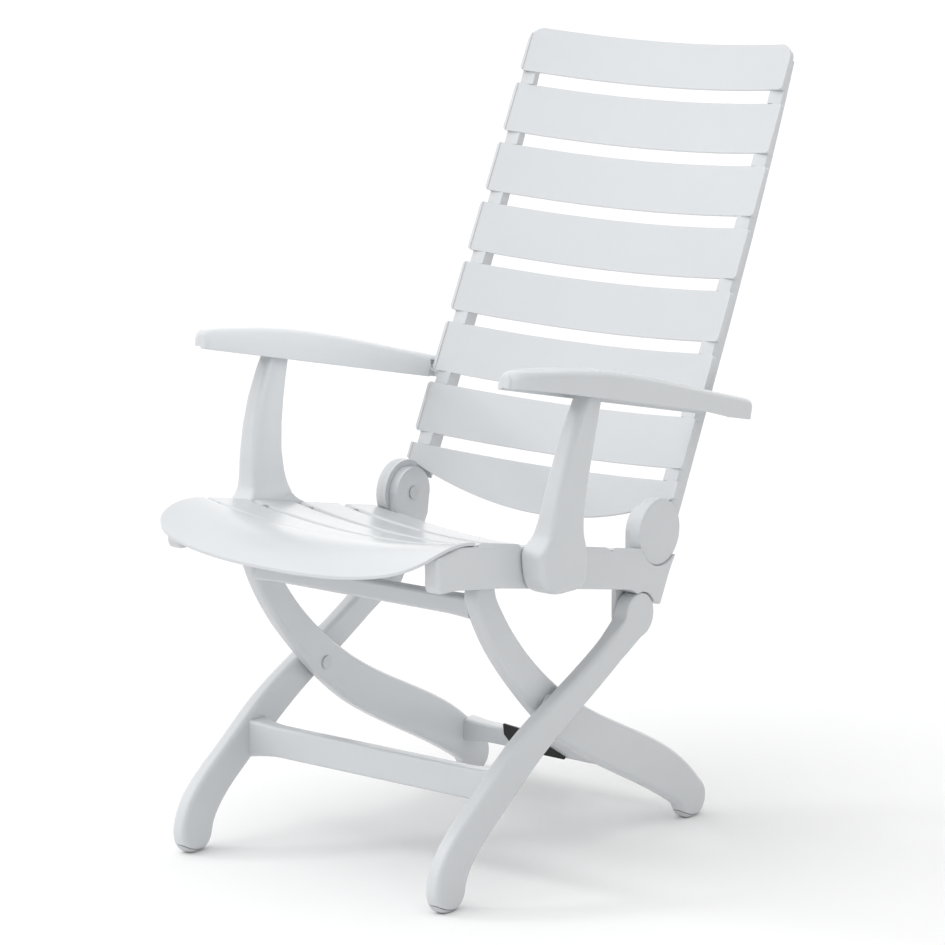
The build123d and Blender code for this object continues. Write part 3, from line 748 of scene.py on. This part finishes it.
def makeBackRail():
    rail = softShape("back_rail_left", backRailShape["edge"])
    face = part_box("back_rail_left")[1][0]
    outline = circle(backHinge, backRailShape["capRadius"], backRailShape["capSides"])
    joined(rail, plate("cap", outline, face - backRailShape["capIn"], face + backRailShape["capProud"],
                       backRailShape["capEdge"], backRailShape["capSteps"]))
    bothSides(rail, "back_rail")


makeSeatRail()
makeBackRail()
print("stage 6: rails made")

# crossbars, whose ends widen into the legs over flare; buried is how far they go in
# each bar's ends grow by rise upward and deepen along the seat; trim makes its middle lower and slimmer
barShape = {"flare": 50.0 * mm, "bend": 1.8, "corner": 5.0 * mm, "buried": 4.0 * mm, "steps": 12,
            "bars": {"front_leg_crossbar": {"rise": 5 * mm, "deepen": 7 * mm, "trim": (4 * mm, 5 * mm)},
                     "rear_leg_lower_crossbar": {"rise": 3 * mm, "deepen": 3 * mm, "trim": (0, 0)},
                     "rear_leg_upper_crossbar": {"rise": 1.5 * mm, "deepen": 3 * mm, "trim": (0, 0)}}}


def barRing(x, y0, y1, z0, z1):
    ring, r = [], barShape["corner"]
    for cy, cz, start in ((y1 - r, z1 - r, 0), (y0 + r, z1 - r, 90), (y0 + r, z0 + r, 180), (y1 - r, z0 + r, 270)):
        ring += quarter(cy, cz, r, start, 5)
    return [(x, y, z) for y, z in ring]


def makeBar(name, bar):
    low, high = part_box(name)
    y, z = (low[1] + high[1]) / 2, (low[2] + high[2]) / 2
    tall, deep = (high[2] - low[2]) / 2 - bar["trim"][0], (high[1] - low[1]) / 2 - bar["trim"][1]
    stations = [high[0] - barShape["flare"] * k / barShape["steps"] for k in range(barShape["steps"] + 1)]
    stations.insert(0, high[0] + barShape["buried"])
    rings = []
    for x in [-place for place in stations] + stations[::-1]:
        near = clamped(1 - (high[0] - abs(x)) / barShape["flare"]) ** barShape["bend"]
        d, t = deep + bar["deepen"] * near, tall + bar["rise"] * near
        rings.append(barRing(x, y - d, y + d, z - t, z + t))
    finishPiece(skin(name + "_moulded", rings), name)


for name, bar in barShape["bars"].items():
    makeBar(name, bar)

# seat slats behind the front one, crowned, their long edges turned down; in mm down to parts
slatShape = {"width": 89.4, "narrower": 1.0, "roll": 9.0, "dip": 3.2, "flangeThick": 3.0, "flangeEnd": 214.0,
             "bevel": (1.2, 1.0, 0.8, 0.4),  # small breaks of the flange's edges
             "middle": (13.0, 4.6), "end": (4.6, 8.0),  # how far the flange goes down, and how thick the slat is
             "parts": 48, "knuckleRadius": 48.6 * mm, "knuckleIn": 35.6 * mm,
             "paintedShadeFacing": 0.6}  # faces that look this much forward or back take the painted gap shade
# the front edge is read from the model at places clear of the notches at the ends
readShape = {"reach": 0.195, "places": 8, "step": 0.4 * mm, "tries": 80, "facing": 0.7}


# closed section along a slat, as (along, up) in mm from its front edge and top
def slatSection(length, deep, thick):
    roll, dip, flange = (slatShape[k] for k in ("roll", "dip", "flangeThick"))
    upper, lower, foot, root = slatShape["bevel"]
    top = []
    for k in range(9):
        along = roll * (1 - math.cos(math.pi / 2 * k / 8))
        top.append((along, -dip * (1 - along / roll) ** 2))
    edge = [(0.0, -dip - upper), (0.0, -dip - deep + lower), (foot, -dip - deep), (flange, -dip - deep),
            (flange, -thick - root), (roll, -thick)]
    points = [(length - a, v) for a, v in top[::-1]] + [(length - a, v) for a, v in edge]
    return points + edge[::-1] + top


# the first place, as (y, z), on the slat's top at x, coming in from y
def edgeSpot(tree, x, y, top):
    for _ in range(readShape["tries"]):
        hit = tree.ray_cast(Vector((x, y, top)), down)
        if hit[0] is not None and hit[1].z > readShape["facing"]:
            return y, hit[0].z
        y += readShape["step"]
    raise RuntimeError("no slat under " + str(x))


def makeSeatSlat(name, isLast):
    low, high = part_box(name)
    tree = topFinder(name)
    level, steep = math.cos(seatSlope), math.sin(seatSlope)
    places = [readShape["reach"] * k / readShape["places"] for k in range(readShape["places"] + 1)]
    spots = [edgeSpot(tree, x, low[1], high[2] + past) for x in places]
    curves = [np.polyfit([x * x for x in places], [spot[i] for spot in spots], 2) for i in (0, 1)]
    length = slatShape["width"] / level - slatShape["narrower"]
    rings = []
    for k in range(slatShape["parts"] + 1):
        x = seatSide * (2 * k / slatShape["parts"] - 1)
        y0, z0 = (float(np.polyval(curve, x * x)) for curve in curves)
        section = slatShape["middle" if abs(x) < slatShape["flangeEnd"] * mm else "end"]
        rings.append([(x, y0 + (along * level + up * steep) * mm, z0 + (up * level - along * steep) * mm)
                      for along, up in slatSection(length, *section)])
    piece = skin(name + "_moulded", rings)
    if isLast:
        for sign in (-1, 1):
            ends = sorted((sign * (seatSide - slatShape["knuckleIn"]), sign * (seatSide + past)))
            carve(piece, rod("round", backHinge, slatShape["knuckleRadius"], *ends))
    finishPiece(piece, name)
    # the slats' turned-down faces take the darker finish, painted shade that draws the gaps dark
    piece.data.materials.append(gapResin)
    for face in piece.data.polygons:
        across = abs(face.normal.y * level - face.normal.z * steep)
        face.material_index = 1 if across > slatShape["paintedShadeFacing"] else 0


slats = sorted(name for name in nodes if name.startswith("seat_slat_"))
for name in slats[1:]:
    makeSeatSlat(name, name == slats[-1])
print("stage 7: crossbars and seat slats made")

# rounding of every edge of the plainer pieces, by slot
edgeRadius = {"slat": 1.6 * mm, "frame": 2.8 * mm, "pin": 0.8 * mm, "black": 1.2 * mm}
# pins that end inside the front legs, this far from their outer face
pinShape = {"buried": 4 * mm}


def makeBlindPin(baseName):
    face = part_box("front_leg_left")[1][0] - pinShape["buried"]
    pin = softShape(baseName + "_left", edgeRadius["pin"])
    shape = bmesh.new()
    shape.from_mesh(pin.data)
    cut = bmesh.ops.bisect_plane(shape, geom=shape.verts[:] + shape.edges[:] + shape.faces[:], plane_co=(face, 0, 0),
                                 plane_no=(1, 0, 0), clear_outer=True)
    bmesh.ops.contextual_create(shape, geom=[e for e in cut["geom_cut"] if isinstance(e, bmesh.types.BMEdge)])
    shape.to_mesh(pin.data)
    shape.free()
    bothSides(pin, baseName)


for baseName in ("leg_pivot_pin", "seat_pivot_pin"):
    makeBlindPin(baseName)

# the clip's tail runs on past the leg and is slimmer there
clipShape = {"tailFrom": 20 * mm, "longer": 10 * mm, "slim": 0.55}


def makeClip():
    clip = softShape("transport_clip", edgeRadius["black"])
    low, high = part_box("transport_clip")
    for vertex in clip.data.vertices:
        if vertex.co.x > high[0] - clipShape["tailFrom"]:
            vertex.co.x += clipShape["longer"]
            vertex.co.z = low[2] + (vertex.co.z - low[2]) * clipShape["slim"]
    finishPiece(clip, "transport_clip")


makeClip()

# everything else keeps its form, with rounded edges
for name in sorted(set(nodes) - dressed):
    finishPiece(softShape(name, edgeRadius[slotOf[name]]), name)
print("stage 8: edges rounded")

# floor; size is half its width in metres
floorLook = {"size": 14.0, "color": (0.875, 0.875, 0.875), "roughness": 0.9, "specular": 0.1}
half = floorLook["size"]
floorMesh = bpy.data.meshes.new("studioFloor")
floorMesh.from_pydata([(-half, -half, 0), (half, -half, 0), (half, half, 0), (-half, half, 0)], [], [(0, 1, 2, 3)])
newObject("studioFloor", floorMesh)
floorMaterial = bpy.data.materials.new("studioFloor")
floorMaterial.use_nodes = True
floorShader = floorMaterial.node_tree.nodes["Principled BSDF"]
floorShader.inputs["Base Color"].default_value = (*floorLook["color"], 1)
floorShader.inputs["Roughness"].default_value = floorLook["roughness"]
floorShader.inputs["Specular IOR Level"].default_value = floorLook["specular"]
floorMesh.materials.append(floorMaterial)

# sky: low and high are its strength at the horizon and above, seen is what the camera sees
# a glow is where it is brighter: direction, how tight, how strong; the second one shows in reflections only
skyLook = {"low": 0.70, "high": 0.80, "seen": 1.02,
           "glow": [((-0.24, -0.44, 0.86), 5.0, 1.58), ((-0.35, 0.86, 0.36), 2.5, 0.85)]}


def makeSky():
    world = bpy.data.worlds.new("studio")
    bpy.context.scene.world = world
    world.use_nodes = True
    sky = world.node_tree
    backdrop = sky.nodes["Background"]
    direction = addNode(sky, "ShaderNodeTexCoord", -1200, 0).outputs["Generated"]
    split = addNode(sky, "ShaderNodeSeparateXYZ", -1000, 0)
    sky.links.new(direction, split.inputs[0])
    rising = maths(sky, "MAXIMUM", (split.outputs["Z"], 0.0), -800, 0)
    glow = maths(sky, "MULTIPLY_ADD", (rising, skyLook["high"] - skyLook["low"], skyLook["low"]), -600, 0)
    lightPath = addNode(sky, "ShaderNodeLightPath", -600, 300)
    for row, (side, tight, strong) in enumerate(skyLook["glow"], 1):
        y = -200 * row
        towards = addNode(sky, "ShaderNodeVectorMath", -800, y, operation="DOT_PRODUCT")
        sky.links.new(direction, towards.inputs[0])
        towards.inputs[1].default_value = Vector(side).normalized()
        spot = maths(sky, "MAXIMUM", (towards.outputs["Value"], 0.0), -600, y)
        spot = maths(sky, "POWER", (spot, tight), -400, y)
        if row == 2:
            spot = maths(sky, "MULTIPLY", (spot, lightPath.outputs["Is Glossy Ray"]), -200, y)
        glow = maths(sky, "MULTIPLY_ADD", (spot, strong, glow), 200 * row - 400, 0)
    missing = maths(sky, "SUBTRACT", (skyLook["seen"], glow), 0, 200)
    strength = maths(sky, "MULTIPLY_ADD", (lightPath.outputs["Is Camera Ray"], missing, glow), 200, 100)
    sky.links.new(strength, backdrop.inputs["Strength"])
    backdrop.inputs["Color"].default_value = (1, 1, 1, 1)


makeSky()


# puts something in the scene that looks along a direction, as a lamp or a camera does
def aimed(name, data, towards):
    holder = newObject(name, data)
    holder.rotation_mode = "QUATERNION"
    holder.rotation_quaternion = Vector(towards).to_track_quat("-Z", "Y")
    return holder


# softness in degrees
sunLook = {"towards": (0.90, 0.42, -0.62), "strength": 0.48, "softness": 10}


def addSun(name, look):
    lamp = bpy.data.lights.new(name, "SUN")
    lamp.energy = look["strength"]
    lamp.angle = math.radians(look["softness"])
    aimed(name, lamp, look["towards"]).visible_glossy = False


addSun("sideLight", sunLook)

# soft panels, seen by neither the camera nor reflections, each for a few pieces on the far side only
fillLooks = {
    "armFill": {"place": (0.06, -0.10, 0.72), "towards": (-1.0, 0.0, -0.08), "size": (0.40, 0.30), "watts": 0.52,
                "pieces": ("armrest_moulded_right", "arm_post_moulded_right")},
    "legFill": {"place": (0.12, 0.02, 0.26), "towards": (-1.0, 0.0, 0.0), "size": (0.60, 0.34), "watts": 0.30,
                "pieces": ("front_leg_moulded_right", "rear_leg_moulded_right", "leg_pivot_pin_right_moulded")}}


def addFill(name, look):
    lamp = bpy.data.lights.new(name, "AREA")
    lamp.shape = "RECTANGLE"
    lamp.size, lamp.size_y = look["size"]
    lamp.energy = look["watts"]
    holder = aimed(name, lamp, look["towards"])
    holder.location = look["place"]
    holder.visible_camera = holder.visible_glossy = False
    lit = bpy.data.collections.new(name + "On")
    for label in look["pieces"]:
        lit.objects.link(bpy.data.objects[label])
    holder.light_linking.receiver_collection = lit


for name, look in fillLooks.items():
    addFill(name, look)
bpy.context.scene.view_settings.view_transform = "Standard"

# camera: where it looks from, in degrees and metres, and its lens and sensor in millimetres
view = {"azimuth": 39.154, "elevation": 10.964, "place": (3.57808, -4.41720, 1.60665), "lens": 158.96, "sensor": 36.0}
turn, rise = math.radians(view["azimuth"]), math.radians(view["elevation"])
back = Vector((math.sin(turn) * math.cos(rise), -math.cos(turn) * math.cos(rise), math.sin(rise)))
cameraData = bpy.data.cameras.new("camera")
cameraData.lens = view["lens"]
cameraData.sensor_width = view["sensor"]
camera = aimed("camera", cameraData, -back)
camera.location = view["place"]
bpy.context.scene.camera = camera
print("stage 9: floor, lights and camera set")
